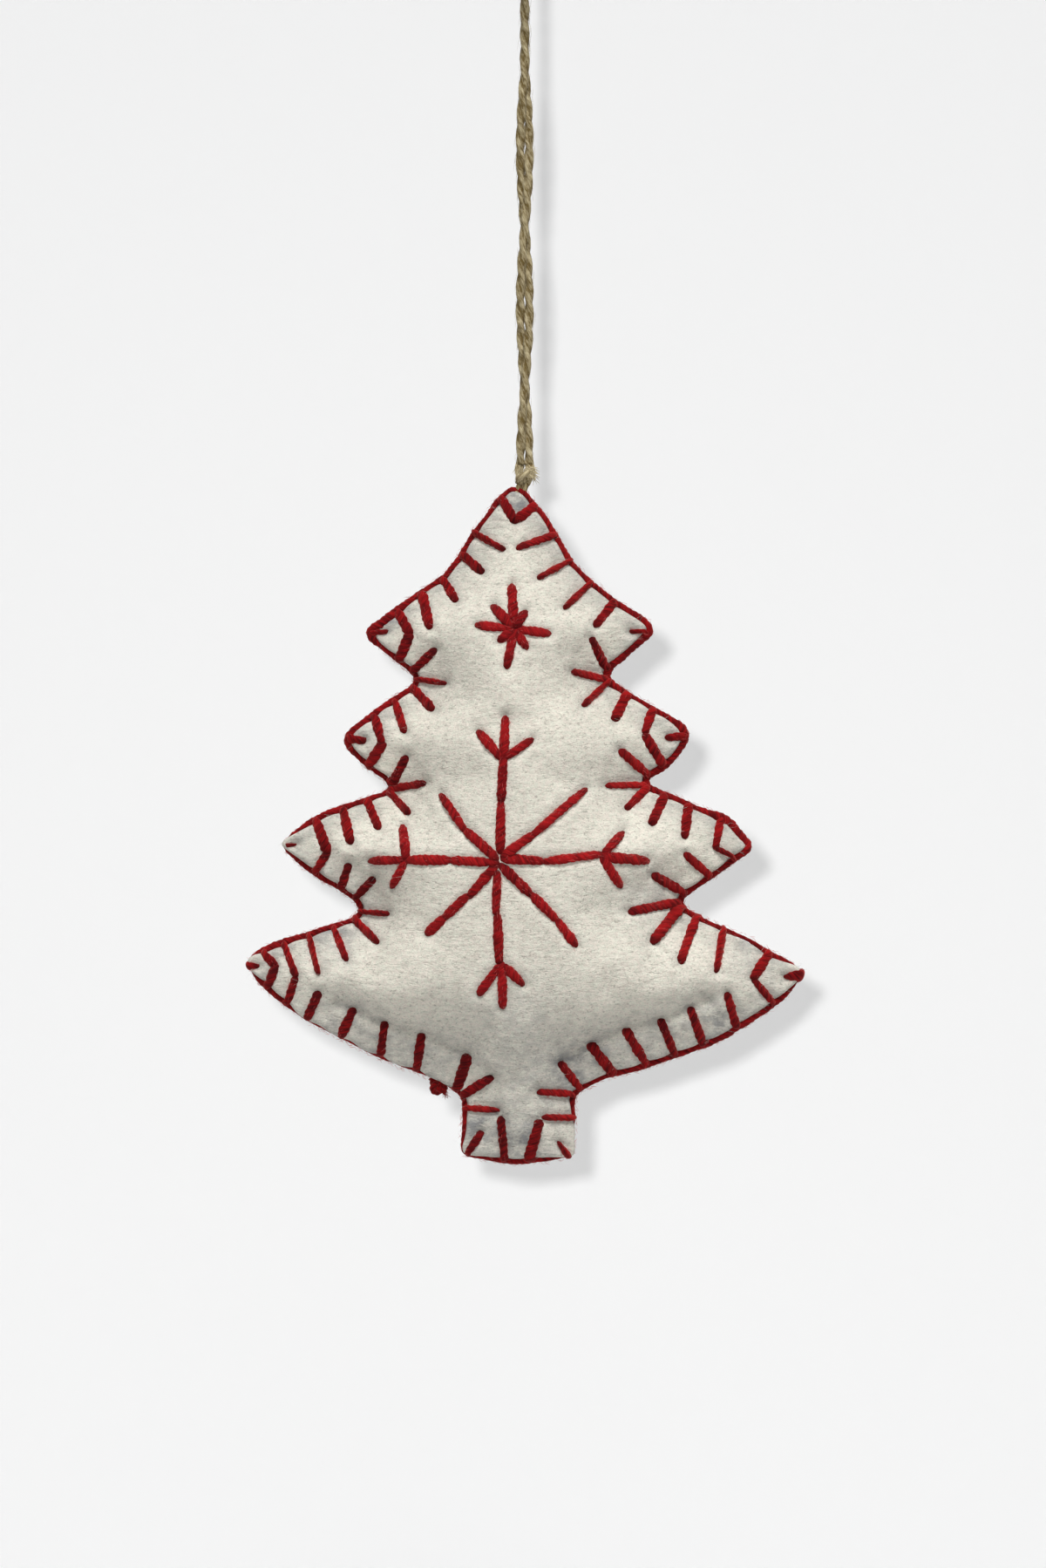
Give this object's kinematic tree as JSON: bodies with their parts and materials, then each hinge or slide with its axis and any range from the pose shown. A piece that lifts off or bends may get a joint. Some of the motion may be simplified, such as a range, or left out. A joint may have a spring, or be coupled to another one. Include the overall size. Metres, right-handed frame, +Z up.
{
  "type": "felt christmas ornament",
  "caption": "Stuffed felt tree ornament with blanket-stitched edges, a yarn star and snowflake, and a hanging loop of twine.",
  "frame": {"origin": "inside of the twine loop's top, where the ornament hangs on a hook", "axes": "+Z up along the hanging twine, the front of the tree faces -Y, +X to the right as the front is seen"},
  "size_m": [0.103, 0.0266, 0.2202],
  "materials": {
    "jute_twine": "twisted jute, matt and hairy",
    "jute_knot": "knotted jute with a frayed tuft",
    "jute_tails": "twisted jute, matt and hairy",
    "felt_front": "heathered cream wool felt with a soft nap",
    "felt_back": "heathered cream wool felt with a soft nap",
    "fibre_fill": "loose white fibre fill",
    "edge_yarn": "plied deep red wool yarn, matt",
    "star_yarn": "plied deep red wool yarn, matt",
    "snowflake_yarn": "plied deep red wool yarn, matt",
    "end_yarn": "knotted deep red wool yarn, matt"
  },
  "bodies": {
    "hanger": {"twine_loop": "jute_twine"},
    "knot": {"loop_knot": "jute_knot"},
    "tree": {"twine_tails": "jute_tails", "front_felt": "felt_front", "back_felt": "felt_back", "stuffing": "fibre_fill", "blanket_stitch": "edge_yarn", "star_stitches": "star_yarn", "snowflake_stitches": "snowflake_yarn", "yarn_end_knot": "end_yarn"}
  },
  "joints": [
    {"name": "twine_twist", "type": "hinge", "parent": "hanger", "child": "knot", "pos_m": [0, 0, -0.09155], "axis": [0, 0, 1], "range_deg": [-180, 180]},
    {"name": "tree_swing", "type": "hinge", "parent": "knot", "child": "tree", "pos_m": [0, 0, -0.09155], "axis": [0, 1, 0], "range_deg": [-30, 30]}
  ]
}
